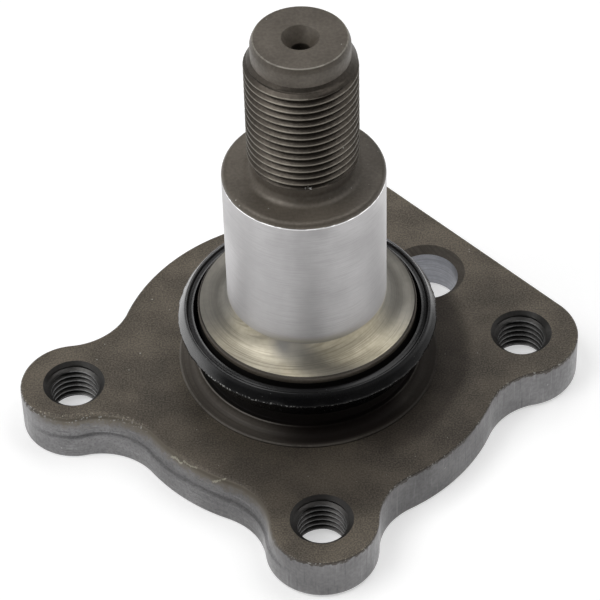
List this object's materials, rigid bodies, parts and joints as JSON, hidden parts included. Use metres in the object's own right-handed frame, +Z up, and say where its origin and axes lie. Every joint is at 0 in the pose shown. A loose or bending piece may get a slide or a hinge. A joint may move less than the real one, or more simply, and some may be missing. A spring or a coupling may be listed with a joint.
{
  "type": "stub shaft",
  "caption": "Flanged stub shaft for a wheel bearing, with a ground journal, a threaded end, tapped lugs and a rubber sealing ring on its neck.",
  "frame": {"origin": "on the shaft axis, at the flange's flat back face", "axes": "+Z up the shaft, from the flange to the threaded end; +X from the axis to the right lug's side and +Y to the back lug's side, as the picture is seen"},
  "size_m": [0.1037, 0.1058, 0.086],
  "materials": {
    "steel": "dark phosphated forging, with a ground bearing journal and shoulder left bright",
    "rubber": "moulded black rubber, satin"
  },
  "bodies": {
    "root": {"spindle": "steel", "seal_ring": "rubber"}
  },
  "joints": []
}
